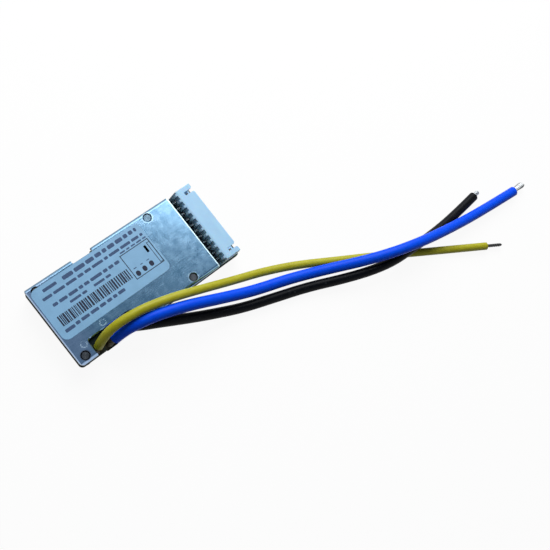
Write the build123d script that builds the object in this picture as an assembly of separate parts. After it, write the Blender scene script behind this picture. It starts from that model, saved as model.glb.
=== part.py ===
from build123d import *
import math
import os

# Battery management board: a green circuit board under a notched aluminium plate,
# with a white side-entry balance header and three soldered leads that lie free.
# Millimetres, +Z up, origin under the middle of the board, at the screw heads' faces.
# +X points at the header's mouth, and the leads leave through the notch at -Y.

# Stack heights, from the ground up
SCREW_HEAD_H = 2.0
BOARD_T = 1.6
POWER_H = 2.3
PAD_T = 0.3
PLATE_T = 2.5
LABEL_T = 0.1

# Circuit board
BOARD_L = 67.8
BOARD_BESIDE_HEADER = 0.4
BOARD_CORNER_R = 0.8

# Aluminium plate, as wide as the board and as long as the header leaves room for
PLATE_TO_HEADER = 1.1
PLATE_EDGE_R = 1.2
PLATE_END_BREAK = 0.25
PLATE_R_REAR_LEFT = 0.5
PLATE_R_FRONT_LEFT = 1.5
PLATE_R_REAR_RIGHT = 1.2
PLATE_R_FRONT_RIGHT = 0.4

# Notch in the rear edge of plate and board
REAR_NOTCH_FROM_LEFT = 17.6
REAR_NOTCH_W = 7.9
REAR_NOTCH_D = 1.5
REAR_NOTCH_R = 0.4

# Notch in the plate's front edge, over the lead pads
LEAD_NOTCH_FROM_LEFT = 6.4
LEAD_NOTCH_W = 18.6
LEAD_NOTCH_D = 6.0
LEAD_NOTCH_R_LEFT = 1.0
LEAD_NOTCH_R_RIGHT = 3.0
LEAD_NOTCH_R_MOUTH = 2.0

# Cover screws, from the board's underside into the plate
SCREW_D = 3.0
SCREW_HEAD_D = 4.6
SCREW_HEAD_BREAK = 0.5
SCREW_RECESS_W = 0.9
SCREW_RECESS_SPAN = 2.8
SCREW_RECESS_D = 1.0
SCREW_TIP_BELOW_TOP = 0.4
SCREW_TIP_BREAK = 0.3
SCREW_TURN = 30.0
SCREW_FROM_LEFT = 3.0
SCREW_FROM_PLATE_END = 10.2
SCREW_FROM_SIDE = 2.3
BOARD_HOLE_CLEARANCE = 0.1
PLATE_HOLE_CLEARANCE = 0.05
PLATE_HOLE_BREAK = 0.12

# Label on the plate
LABEL_L = 42.95
LABEL_W = 19.7
LABEL_R = 2.2
LABEL_FROM_LEFT = 0.6
LABEL_BELOW_NOTCH = 0.1

# Side-entry header: eleven ways
WAYS = 11
PITCH = 2.5
HEADER_END = 2.45
HEADER_H = 6.1
HEADER_WALL = 0.8
HEADER_REAR_WALL = 1.4
HEADER_TOP_D = 6.15
HEADER_MOUTH_SETBACK = 0.75
HEADER_SLOT_W = 1.3
HEADER_SLOT_D = 3.65
HEADER_SLOT_INSET = 2.5
HEADER_SLOT_FLARE = 0.5
HEADER_SLOT_INTO_CAVITY = 0.5
COMB_D = 1.4
COMB_RIB_T = 0.9
COMB_RIB_TOP = 0.7
COMB_SLOT_DROP = 2.3
COMB_SLOT_SLOPE = 0.9
EAR_D = 2.1
EAR_T = 1.05
EAR_TOE_H = 1.4
HEADER_EDGE_R = 0.2

# Header pins
PIN_W = 0.64
PIN_ABOVE_BOARD = 3.05
PIN_TIP_SETBACK = 1.5
PIN_BEND_BEHIND_COMB = 0.7
PIN_BEND_R = 0.9
PIN_BEND_INNER_R = 0.36
PIN_BELOW_BOARD = 1.2
PIN_TIP_BREAK = 0.15
PIN_HOLE_D = 1.0
PIN_SOLDER_H = 0.8
PIN_SOLDER_R = 0.85
PIN_SOLDER_TOP_R = 0.5

# Power transistors on the board's top, tabs to the rear
POWER_PITCH = 7.6
POWER_FROM_LEFT = 7.9
POWER_TO_PLATE_END = 8.0
POWER_FROM_REAR = 9.35
POWER_L = 6.6
POWER_W = 6.1
POWER_TAPER = 0.25
TAB_W = 5.2
TAB_T = 0.5
TAB_OUT = 1.1
TAB_UNDER = 4.6
LEG_W = 0.76
LEG_T = 0.5
LEG_SPREAD = 4.57
LEG_REACH = 2.5
LEG_EXIT_H = 0.9
LEG_FOOT = 1.2
LEG_KNEE = 0.3
PAD_MARGIN = 0.8

# Current shunts on the board's top
SHUNT_COUNT = 3
SHUNT_PITCH = 8.0
SHUNT_FROM_PLATE_END = 3.7
SHUNT_FROM_FRONT = 9.15
SHUNT_L = 6.4
SHUNT_W = 3.2
SHUNT_H = 0.6
SHUNT_CAP = 0.6
SHUNT_CAP_T = 0.05

# Protection chip under the board
CHIP_L = 9.7
CHIP_W = 4.4
CHIP_H = 1.05
CHIP_STANDOFF = 0.1
CHIP_FROM_FILTERS = 12.3
CHIP_EDGE_BREAK = 0.15
CHIP_LEGS = 14
CHIP_LEG_PITCH = 0.65
CHIP_LEG_W = 0.25
CHIP_LEG_T = 0.15
CHIP_LEG_REACH = 1.0
CHIP_LEG_FOOT = 0.5

# One balancing stage for each cell, in rows under the board
STAGES = WAYS - 1
BLEED_FROM_PINS = 5.3
BLEED_L = 3.2
BLEED_W = 1.6
BLEED_H = 0.55
SWITCH_FROM_PINS = 16.6
SWITCH_L = 2.9
SWITCH_W = 1.3
SWITCH_H = 1.0
SWITCH_LEG_W = 0.42
SWITCH_LEG_T = 0.15
SWITCH_LEG_REACH = 0.4
SWITCH_LEG_SPREAD = 1.9
CAP_FROM_PINS = 21.4
CAP_L = 2.0
CAP_W = 1.25
CAP_H = 0.8
FILTER_FROM_PINS = 24.5
FILTER_L = 1.6
FILTER_W = 0.8
FILTER_H = 0.45
END_CAP = (0.35, 0.03)

# Leads: jacket and conductor diameters
YELLOW_D = 3.1
YELLOW_CORE_D = 1.2
BLUE_D = 4.1
BLUE_CORE_D = 2.6
BLACK_D = 3.8
BLACK_CORE_D = 1.75

# Each lead's run: from its solder joint, over the front edge and along the ground.
# X and Y count from the lead notch's left end at the board's front edge.
YELLOW_RUN = [
    (1.85, 2.45, 5.9), (3.4, 3.1, 8.8), (6.8, 3.9, 12.3),
    (11.95, 3.85, 14.5), (19.8, 2.85, 15.05), (29.6, 0.35, 14.15),
    (39.6, -2.8, 11.55), (52.35, -6.65, 6.55), (64.8, -10.35, 2.9),
    (77.95, -16.0, 1.6), (91.5, -23.65, 1.55), (105.3, -31.2, 1.55),
    (120.4, -40.15, 1.55), (135.85, -49.1, 1.55), (151.0, -57.85, 1.55),
]
BLUE_RUN = [
    (7.6, 1.45, 6.5), (10.9, 1.4, 9.95), (15.45, 0.35, 12.65),
    (22.4, -1.35, 13.7), (32.6, -4.7, 12.1), (44.05, -9.15, 8.45),
    (56.95, -14.05, 4.9), (71.5, -18.45, 3.35), (86.1, -24.5, 3.95),
    (97.25, -30.0, 7.3), (106.85, -34.05, 9.9), (117.4, -37.35, 10.35),
    (133.1, -40.85, 7.1), (156.05, -44.8, 2.75), (179.15, -47.55, 2.1),
]
BLACK_RUN = [
    (12.5, 2.65, 5.6), (14.6, 1.1, 7.4), (17.45, -0.85, 8.8),
    (21.1, -2.85, 9.35), (26.05, -5.35, 8.35), (32.75, -8.5, 5.95),
    (40.9, -12.15, 3.7), (50.75, -16.45, 2.35), (62.35, -20.4, 2.0),
    (75.45, -24.9, 1.9), (88.2, -30.7, 3.25), (99.0, -35.05, 5.2),
    (109.05, -37.6, 5.55), (119.8, -38.4, 5.15), (132.1, -39.4, 3.25),
    (146.65, -39.35, 2.1), (160.95, -38.25, 1.9),
]
ARC_SHARE = 0.45

# Solder joints of the leads: stub length, mound radius and mound height
YELLOW_JOINT = (2.2, 1.6, 1.5)
BLUE_JOINT = (2.6, 1.65, 2.3)
BLACK_JOINT = (1.6, 1.85, 2.9)
MOUND_NECK = 0.55
MOUND_WAIST = 0.72

# Bared and tinned far ends
YELLOW_TIP_L = 5.6
BLUE_TIP_L = 4.4
BLACK_TIP_L = 2.6
TIP_BREAK = 0.2
BLUE_TIP_SLANT = 35.0
BLUE_TIP_SLANT_BACK = 0.7

# Derived places
BOARD_Z0 = SCREW_HEAD_H
BOARD_Z1 = BOARD_Z0 + BOARD_T
PLATE_Z0 = BOARD_Z1 + POWER_H + PAD_T
PLATE_Z1 = PLATE_Z0 + PLATE_T
HEADER_W = (WAYS - 1) * PITCH + 2 * HEADER_END
BOARD_W = HEADER_W + 2 * BOARD_BESIDE_HEADER
LEFT = -BOARD_L / 2
RIGHT = BOARD_L / 2
FRONT = -BOARD_W / 2
REAR = BOARD_W / 2
MOUTH_X = RIGHT - HEADER_MOUTH_SETBACK
HEADER_BACK_X = MOUTH_X - HEADER_TOP_D
PLATE_RIGHT = HEADER_BACK_X - EAR_D - PLATE_TO_HEADER
PLATE_L = PLATE_RIGHT - LEFT
NOTCH_LEFT = LEFT + LEAD_NOTCH_FROM_LEFT
NOTCH_RIGHT = NOTCH_LEFT + LEAD_NOTCH_W
NOTCH_INNER = FRONT + LEAD_NOTCH_D
REAR_NOTCH_LEFT = LEFT + REAR_NOTCH_FROM_LEFT
REAR_NOTCH_RIGHT = REAR_NOTCH_LEFT + REAR_NOTCH_W
REAR_NOTCH_INNER = REAR - REAR_NOTCH_D
SCREW_X = [LEFT + SCREW_FROM_LEFT, PLATE_RIGHT - SCREW_FROM_PLATE_END]
SCREW_Y = [FRONT + SCREW_FROM_SIDE, REAR - SCREW_FROM_SIDE]
SCREW_PLACES = [(x, y) for x in SCREW_X for y in SCREW_Y]
HEADER_Z1 = BOARD_Z1 + HEADER_H
PIN_Z = BOARD_Z1 + PIN_ABOVE_BOARD
PIN_DOWN_X = HEADER_BACK_X - COMB_D - PIN_BEND_BEHIND_COMB
PIN_YS = [(i - (WAYS - 1) / 2) * PITCH for i in range(WAYS)]
STAGE_YS = [(i - (STAGES - 1) / 2) * PITCH for i in range(STAGES)]
POWER_COUNT = 1 + int((PLATE_L - POWER_FROM_LEFT - POWER_TO_PLATE_END) // POWER_PITCH)
POWER_XS = [LEFT + POWER_FROM_LEFT + i * POWER_PITCH for i in range(POWER_COUNT)]
POWER_Y = REAR - POWER_FROM_REAR
SHUNT_XS = [PLATE_RIGHT - SHUNT_FROM_PLATE_END - i * SHUNT_PITCH for i in range(SHUNT_COUNT)]
SHUNT_Y = FRONT + SHUNT_FROM_FRONT
BLEED_X = PIN_DOWN_X - BLEED_FROM_PINS
SWITCH_X = PIN_DOWN_X - SWITCH_FROM_PINS
CAP_X = PIN_DOWN_X - CAP_FROM_PINS
FILTER_X = PIN_DOWN_X - FILTER_FROM_PINS
CHIP_X = FILTER_X - CHIP_FROM_FILTERS


def block(x0, x1, y0, y1, z0, z1):
    """A box between two corners."""
    size = Box(x1 - x0, y1 - y0, z1 - z0)
    return Pos((x0 + x1) / 2, (y0 + y1) / 2, (z0 + z1) / 2) * size


def group(solids):
    """Separate solids that share one node."""
    return Compound(children=[s for part in solids for s in part.solids()])


def slab(outline, z0, z1):
    """A flat outline made into a slab."""
    return Pos(0, 0, z0) * extrude(outline, z1 - z0)


def rounded_plan(x0, x1, y0, y1, radii):
    """A rectangle whose corners, keyed by their signs, have radii of their own."""
    plan = Pos((x0 + x1) / 2, (y0 + y1) / 2) * Rectangle(x1 - x0, y1 - y0)
    for (sx, sy), radius in radii.items():
        x = x1 if sx > 0 else x0
        y = y1 if sy > 0 else y0
        corner = plan.vertices().sort_by_distance((x, y, 0))[0]
        plan = fillet(corner, radius)
    return plan


def rear_notch():
    """The shallow notch in the rear edge, as a cutter's outline."""
    radii = {(-1, -1): REAR_NOTCH_R, (1, -1): REAR_NOTCH_R}
    return rounded_plan(REAR_NOTCH_LEFT, REAR_NOTCH_RIGHT, REAR_NOTCH_INNER, REAR + 1, radii)


def lead_notch():
    """The notch over the lead pads, open at the front edge, with one corner of its mouth rounded."""
    radii = {(-1, 1): LEAD_NOTCH_R_LEFT, (1, 1): LEAD_NOTCH_R_RIGHT}
    notch = rounded_plan(NOTCH_LEFT, NOTCH_RIGHT, FRONT - 1, NOTCH_INNER, radii)
    r = LEAD_NOTCH_R_MOUTH
    mouth = Pos(NOTCH_RIGHT, FRONT) * Rectangle(2 * r, 2 * r)
    return notch + (mouth - Pos(NOTCH_RIGHT + r, FRONT + r) * Circle(r))


def heatsink_plate():
    """A bar with rounded long edges, cut to its plan, notched and drilled."""
    bar = Plane.YZ * Pos(0, (PLATE_Z0 + PLATE_Z1) / 2) * Rectangle(BOARD_W, PLATE_T)
    top_corners = bar.vertices().group_by(Axis.Z)[-1]
    bar = fillet(top_corners, PLATE_EDGE_R)
    bar = Pos(LEFT, 0, 0) * extrude(bar, PLATE_L)
    plan = rounded_plan(LEFT, PLATE_RIGHT, FRONT, REAR, {
        (-1, 1): PLATE_R_REAR_LEFT, (-1, -1): PLATE_R_FRONT_LEFT,
        (1, 1): PLATE_R_REAR_RIGHT, (1, -1): PLATE_R_FRONT_RIGHT,
    })
    waste = Pos((LEFT + PLATE_RIGHT) / 2, 0) * Rectangle(PLATE_L + 4, BOARD_W + 4) - plan
    waste += rear_notch() + lead_notch()
    plate = bar - slab(waste, PLATE_Z0 - 1, PLATE_Z1 + 1)
    broken = PLATE_Z1 - PLATE_END_BREAK
    plate -= Pos(0, 0, broken) * extrude(lead_notch(), 2 * PLATE_END_BREAK, taper=-45)
    for end, way in ((LEFT, -1), (PLATE_RIGHT, 1)):
        inside = end - way * 2 * PLATE_END_BREAK
        wedge = [(end, broken), (inside, PLATE_Z1 + PLATE_END_BREAK), (end + way, PLATE_Z1 + 1)]
        plate -= side_profile(wedge, FRONT - 1, REAR + 1)
    hole_r = SCREW_D / 2 + PLATE_HOLE_CLEARANCE
    for x, y in SCREW_PLACES:
        bore = Cylinder(hole_r, PLATE_T + 2)
        sink = Cone(hole_r, hole_r + 2 * PLATE_HOLE_BREAK, 2 * PLATE_HOLE_BREAK)
        plate -= Pos(x, y, (PLATE_Z0 + PLATE_Z1) / 2) * bore
        plate -= Pos(x, y, PLATE_Z1) * sink
    return plate


def circuit_board():
    """The board with its notch, screw holes and pin holes."""
    corner = BOARD_CORNER_R
    plan = rounded_plan(LEFT, RIGHT, FRONT, REAR, {
        (-1, 1): corner, (-1, -1): PLATE_R_FRONT_LEFT, (1, 1): corner, (1, -1): corner,
    })
    plan -= rear_notch()
    for x, y in SCREW_PLACES:
        plan -= Pos(x, y) * Circle(SCREW_D / 2 + BOARD_HOLE_CLEARANCE)
    for y in PIN_YS:
        plan -= Pos(PIN_DOWN_X, y) * Circle(PIN_HOLE_D / 2)
    return slab(plan, BOARD_Z0, BOARD_Z1)


def cover_screw(x, y):
    """A pan-head screw, head down, with a cross recess in its lower face."""
    head = Cylinder(SCREW_HEAD_D / 2, SCREW_HEAD_H)
    head = chamfer(head.edges().group_by(Axis.Z)[0], SCREW_HEAD_BREAK)
    head = Pos(0, 0, SCREW_HEAD_H / 2) * head
    shank_h = PLATE_Z1 - SCREW_TIP_BELOW_TOP - SCREW_HEAD_H
    shank = Cylinder(SCREW_D / 2, shank_h)
    shank = chamfer(shank.edges().group_by(Axis.Z)[-1], SCREW_TIP_BREAK)
    screw = head + Pos(0, 0, SCREW_HEAD_H + shank_h / 2) * shank
    slot = Box(SCREW_RECESS_SPAN, SCREW_RECESS_W, 2 * SCREW_RECESS_D)
    screw -= slot + Rot(0, 0, 90) * slot
    return Pos(x, y, 0) * Rot(0, 0, SCREW_TURN) * screw


def product_label():
    """The thin label on the plate, rounded at its corners."""
    x0 = LEFT + LABEL_FROM_LEFT
    y1 = REAR_NOTCH_INNER - LABEL_BELOW_NOTCH
    corners = {(sx, sy): LABEL_R for sx in (-1, 1) for sy in (-1, 1)}
    plan = rounded_plan(x0, x0 + LABEL_L, y1 - LABEL_W, y1, corners)
    return slab(plan, PLATE_Z1, PLATE_Z1 + LABEL_T)


def side_profile(points, y0, y1):
    """A closed outline in X and Z, made into a solid between two values of Y."""
    face = Plane.XZ * make_face(Polyline(*points, close=True))
    return Pos(0, y1, 0) * extrude(face, y1 - y0)


def header_housing():
    """The shroud: an open mouth at +X, two slots in its roof and a comb at its back."""
    half = HEADER_W / 2
    shell = block(HEADER_BACK_X, MOUTH_X, -half, half, BOARD_Z1, HEADER_Z1)
    top_long = shell.edges().group_by(Axis.Z)[-1].filter_by(Axis.X)
    mouth_edge = shell.edges().group_by(Axis.Z)[-1].filter_by(Axis.Y).sort_by(Axis.X)[-1]
    shell = fillet(top_long + ShapeList([mouth_edge]), HEADER_EDGE_R)
    inner = half - HEADER_WALL
    cavity_x0 = HEADER_BACK_X + HEADER_REAR_WALL
    cavity_z0, cavity_z1 = BOARD_Z1 + HEADER_WALL, HEADER_Z1 - HEADER_WALL
    shell -= block(cavity_x0, MOUTH_X + 1, -inner, inner, cavity_z0, cavity_z1)
    slot_x0 = MOUTH_X - HEADER_SLOT_D
    slot_z0 = HEADER_Z1 - HEADER_WALL - HEADER_SLOT_INTO_CAVITY
    for side in (-1, 1):
        y = side * (half - HEADER_SLOT_INSET)
        w = HEADER_SLOT_W / 2
        shell -= block(slot_x0, MOUTH_X + 1, y - w, y + w, slot_z0, HEADER_Z1 + 1)
        near, far = MOUTH_X - HEADER_SLOT_FLARE, MOUTH_X + HEADER_SLOT_FLARE
        wide = w + far - near
        flare = Polyline((near, y - w), (far, y - wide), (far, y + wide), (near, y + w), close=True)
        shell -= slab(make_face(flare), slot_z0, HEADER_Z1 + 1)
    back = HEADER_BACK_X
    slot_back = back - COMB_SLOT_SLOPE
    floor = [
        (back, HEADER_Z1), (slot_back, HEADER_Z1 - COMB_SLOT_DROP),
        (slot_back, BOARD_Z1), (back, BOARD_Z1),
    ]
    shell += side_profile(floor, -half + EAR_T, half - EAR_T)
    rib_back = back - COMB_D
    rib = [
        (back, HEADER_Z1), (back - COMB_RIB_TOP, HEADER_Z1),
        (rib_back, HEADER_Z1 - (COMB_D - COMB_RIB_TOP)), (rib_back, BOARD_Z1), (back, BOARD_Z1),
    ]
    for i in range(WAYS + 1):
        y = (i - WAYS / 2) * PITCH
        shell += side_profile(rib, y - COMB_RIB_T / 2, y + COMB_RIB_T / 2)
    ear_back = back - EAR_D
    ear = [
        (back, HEADER_Z1), (ear_back, BOARD_Z1 + EAR_TOE_H), (ear_back, BOARD_Z1), (back, BOARD_Z1),
    ]
    shell += side_profile(ear, half - EAR_T, half)
    shell += side_profile(ear, -half, -half + EAR_T)
    for y in PIN_YS:
        w = PIN_W / 2
        shell -= block(slot_back - 1, cavity_x0 + 1, y - w, y + w, PIN_Z - w, PIN_Z + w)
    return shell


def header_pin(y):
    """A square pin: level through the housing, then bent down through the board."""
    w = PIN_W / 2
    tip_x = MOUTH_X - PIN_TIP_SETBACK
    tip_z = BOARD_Z0 - PIN_BELOW_BOARD
    level = [
        (PIN_DOWN_X - w, PIN_Z + w), (tip_x, PIN_Z + w),
        (tip_x, PIN_Z - w), (PIN_DOWN_X + w, PIN_Z - w),
    ]
    down = [(PIN_DOWN_X + w, tip_z), (PIN_DOWN_X - w, tip_z)]
    outline = make_face(Polyline(*level, *down, close=True))
    outer = outline.vertices().sort_by_distance((PIN_DOWN_X - w, PIN_Z + w, 0))[0]
    outline = fillet(outer, PIN_BEND_R)
    inner = outline.vertices().sort_by_distance((PIN_DOWN_X + w, PIN_Z - w, 0))[0]
    outline = fillet(inner, PIN_BEND_INNER_R)
    pin = extrude(Plane.XZ * outline, PIN_W)
    pin = Pos(0, y + w, 0) * pin
    ends = pin.edges().filter_by(Axis.Y)
    tips = ends.group_by(Axis.Z)[0] + ends.group_by(Axis.X)[-1]
    return chamfer(tips, PIN_TIP_BREAK)


def pin_solder(y):
    """The solder cone round a pin under the board."""
    cone = Cone(PIN_SOLDER_TOP_R, PIN_SOLDER_R, PIN_SOLDER_H)
    cone = Pos(PIN_DOWN_X, y, BOARD_Z0 - PIN_SOLDER_H / 2) * cone
    w = PIN_W / 2
    return cone - block(PIN_DOWN_X - w, PIN_DOWN_X + w, y - w, y + w, 0, BOARD_Z0)


def power_tab(x):
    """A power transistor's tab, flat on the board and out past the body's rear."""
    y1 = POWER_Y + POWER_W / 2 + TAB_OUT
    y0 = POWER_Y + POWER_W / 2 - TAB_UNDER
    return block(x - TAB_W / 2, x + TAB_W / 2, y0, y1, BOARD_Z1, BOARD_Z1 + TAB_T)


def power_leg(x):
    """A bent leg: out of the body's front, down, and along the board."""
    y_body = POWER_Y - POWER_W / 2
    y_knee = y_body - (LEG_REACH - LEG_FOOT)
    high = BOARD_Z1 + LEG_EXIT_H
    low = BOARD_Z1
    points = [
        (y_body, high), (y_body, high + LEG_T), (y_knee, high + LEG_T),
        (y_knee - LEG_T, low + LEG_T), (y_body - LEG_REACH, low + LEG_T), (y_body - LEG_REACH, low),
        (y_knee, low), (y_knee + LEG_KNEE, high),
    ]
    face = Plane.YZ * make_face(Polyline(*points, close=True))
    return Pos(x - LEG_W / 2, 0, 0) * extrude(face, LEG_W)


def power_body(x):
    """A power transistor's moulded body, narrower at its top, seated over its tab."""
    base = Plane.XY.offset(BOARD_Z1) * Pos(x, POWER_Y) * Rectangle(POWER_L, POWER_W)
    top = Plane.XY.offset(BOARD_Z1 + POWER_H) * Pos(x, POWER_Y)
    top = top * Rectangle(POWER_L - 2 * POWER_TAPER, POWER_W - 2 * POWER_TAPER)
    body = loft([base, top])
    body -= power_tab(x)
    for side in (-1, 1):
        body -= power_leg(x + side * LEG_SPREAD / 2)
    return body


def thermal_pad():
    """The soft sheet between the power transistors and the plate."""
    x0 = POWER_XS[0] - POWER_L / 2 - PAD_MARGIN
    x1 = POWER_XS[-1] + POWER_L / 2 + PAD_MARGIN
    y0 = POWER_Y - POWER_W / 2 - PAD_MARGIN
    y1 = POWER_Y + POWER_W / 2 + PAD_MARGIN
    return block(x0, x1, y0, y1, PLATE_Z0 - PAD_T, PLATE_Z0)


def chip_part(x, y, along, across, height, cap, cap_t, z_face, up):
    """A two-ended surface part: a body between two slightly larger end caps."""
    half, w = along / 2, across / 2
    low, high = sorted((z_face, z_face + up * height))
    body_low, body_high = sorted((z_face, z_face + up * (height - cap_t)))
    narrow = w - cap_t
    body = block(x - half + cap_t, x + half - cap_t, y - narrow, y + narrow, body_low, body_high)
    ends = block(x - half, x - half + cap, y - w, y + w, low, high)
    ends += block(x + half - cap, x + half, y - w, y + w, low, high)
    return body + ends


def gull_leg(u_body, u_out, foot, face, exit_low, thick, up):
    """A small bent leg's outline: from a body side out and to the board's face."""
    exit_high = exit_low + up * thick
    toe = face + up * thick
    knee = u_out - math.copysign(foot, u_out - u_body)
    step = math.copysign(thick, u_out - u_body)
    return [
        (u_body, exit_low), (u_body, exit_high), (knee, exit_high), (knee + step, toe),
        (u_out, toe), (u_out, face), (knee, face), (knee - step, exit_low),
    ]


def protection_chip():
    """The protection chip's body, just clear of the board's underside."""
    z1 = BOARD_Z0 - CHIP_STANDOFF
    x0, x1 = CHIP_X - CHIP_L / 2, CHIP_X + CHIP_L / 2
    body = block(x0, x1, -CHIP_W / 2, CHIP_W / 2, z1 - CHIP_H, z1)
    return chamfer(body.edges().group_by(Axis.Z)[0], CHIP_EDGE_BREAK)


def protection_chip_legs():
    """The chip's two rows of legs."""
    legs = []
    exit_z = BOARD_Z0 - CHIP_STANDOFF - CHIP_H / 2
    for side in (-1, 1):
        y_body = side * CHIP_W / 2
        y_out = y_body + side * CHIP_LEG_REACH
        points = gull_leg(y_body, y_out, CHIP_LEG_FOOT, BOARD_Z0, exit_z, CHIP_LEG_T, -1)
        face = Plane.YZ * make_face(Polyline(*points, close=True))
        for i in range(CHIP_LEGS):
            x = CHIP_X + (i - (CHIP_LEGS - 1) / 2) * CHIP_LEG_PITCH
            legs.append(Pos(x - CHIP_LEG_W / 2, 0, 0) * extrude(face, CHIP_LEG_W))
    return group(legs)


def balance_switch(y):
    """A small transistor's body under the board."""
    z1 = BOARD_Z0 - CHIP_STANDOFF
    x0, x1 = SWITCH_X - SWITCH_L / 2, SWITCH_X + SWITCH_L / 2
    return block(x0, x1, y - SWITCH_W / 2, y + SWITCH_W / 2, z1 - SWITCH_H, z1)


def balance_switch_legs(y):
    """Its three legs: two on one side, one on the other."""
    legs = []
    exit_z = BOARD_Z0 - CHIP_STANDOFF - SWITCH_H / 2
    spread = SWITCH_LEG_SPREAD / 2
    for side, places in ((-1, (-spread, spread)), (1, (0.0,))):
        y_body = y + side * SWITCH_W / 2
        foot = SWITCH_LEG_REACH / 2
        y_out = y_body + side * SWITCH_LEG_REACH
        points = gull_leg(y_body, y_out, foot, BOARD_Z0, exit_z, SWITCH_LEG_T, -1)
        face = Plane.YZ * make_face(Polyline(*points, close=True))
        for place in places:
            x = SWITCH_X + place - SWITCH_LEG_W / 2
            legs.append(Pos(x, 0, 0) * extrude(face, SWITCH_LEG_W))
    return legs


def from_notch(run):
    """A lead's points in the board's frame."""
    return [(NOTCH_LEFT + x, FRONT + y, z) for x, y, z in run]


YELLOW_ROUTE = from_notch(YELLOW_RUN)
BLUE_ROUTE = from_notch(BLUE_RUN)
BLACK_ROUTE = from_notch(BLACK_RUN)


def arc_radii(route):
    """Each corner's radius: a share of the shorter run over the tangent of half the turn."""
    points = [Vector(*p) for p in route]
    radii = []
    for before, here, after in zip(points, points[1:], points[2:]):
        turn = math.radians((here - before).get_angle(after - here))
        shorter = min((here - before).length, (after - here).length)
        radii.append(ARC_SHARE * shorter / math.tan(turn / 2))
    return radii


def lead(name, route, diameter):
    """A lead's jacket: straight runs joined by tangent arcs."""
    radii = arc_radii(route)
    print(name, "bend radii", [round(r, 1) for r in radii])
    print(name, "least radius in diameters", round(min(radii) / diameter, 2))
    path = FilletPolyline(*route, radius=radii)
    section = Plane(path @ 0, z_dir=path % 0) * Circle(diameter / 2)
    jacket = sweep(section, path=path)
    expected = math.pi * diameter ** 2 / 4 * path.length
    print(name, "length", round(path.length, 1), "volume ratio", round(jacket.volume / expected, 4))
    return jacket


def rod(start, direction, radius, length):
    """A round rod from a point, along a direction."""
    return Plane(start, z_dir=direction) * Pos(0, 0, length / 2) * Cylinder(radius, length)


def lead_joint(route, jacket_d, core_d, joint):
    """The bared start of a lead in its mound of solder, level with the board and the jacket's end."""
    stub_l, mound_r, mound_h = joint
    start = Vector(*route[0])
    heading = (Vector(*route[1]) - start).normalized()
    buried = start - heading * stub_l
    stub = rod(buried, heading, core_d / 2, stub_l)
    neck = mound_r * MOUND_NECK
    profile = Plane.XZ * make_face([
        Line((0, 0), (mound_r, 0)),
        ThreePointArc((mound_r, 0), (mound_r * MOUND_WAIST, mound_h / 2), (neck, mound_h)),
        Line((neck, mound_h), (0, mound_h)),
        Line((0, mound_h), (0, 0)),
    ])
    mound = Pos(buried.X, buried.Y, BOARD_Z1) * revolve(profile, Axis.Z)
    joint_solid = mound + stub
    reach = mound_r + stub_l
    below = Pos(buried.X, buried.Y, BOARD_Z1 - reach) * Cylinder(2 * reach, 2 * reach)
    return joint_solid - below - rod(start, heading, jacket_d / 2, jacket_d)


def lead_tip(route, core_d, length):
    """The bared far end, in line with the last run."""
    end = Vector(*route[-1])
    heading = (end - Vector(*route[-2])).normalized()
    tip = rod(end, heading, core_d / 2, length)
    far_edge = tip.edges().filter_by(GeomType.CIRCLE).sort_by_distance(end + heading * length)[0]
    return chamfer(far_edge, TIP_BREAK)


def blue_tip():
    """The thick lead's far end, cut off on a slant."""
    end = Vector(*BLUE_ROUTE[-1])
    heading = (end - Vector(*BLUE_ROUTE[-2])).normalized()
    tip = rod(end, heading, BLUE_CORE_D / 2, BLUE_TIP_L)
    place = Plane(end, x_dir=(heading.Y, -heading.X, 0), z_dir=heading)
    cut_face = place * Pos(0, 0, BLUE_TIP_L - BLUE_TIP_SLANT_BACK) * Rot(BLUE_TIP_SLANT, 0, 0)
    return tip - cut_face * Pos(0, 0, BLUE_TIP_L / 2) * Cylinder(BLUE_TIP_L, BLUE_TIP_L)


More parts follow.
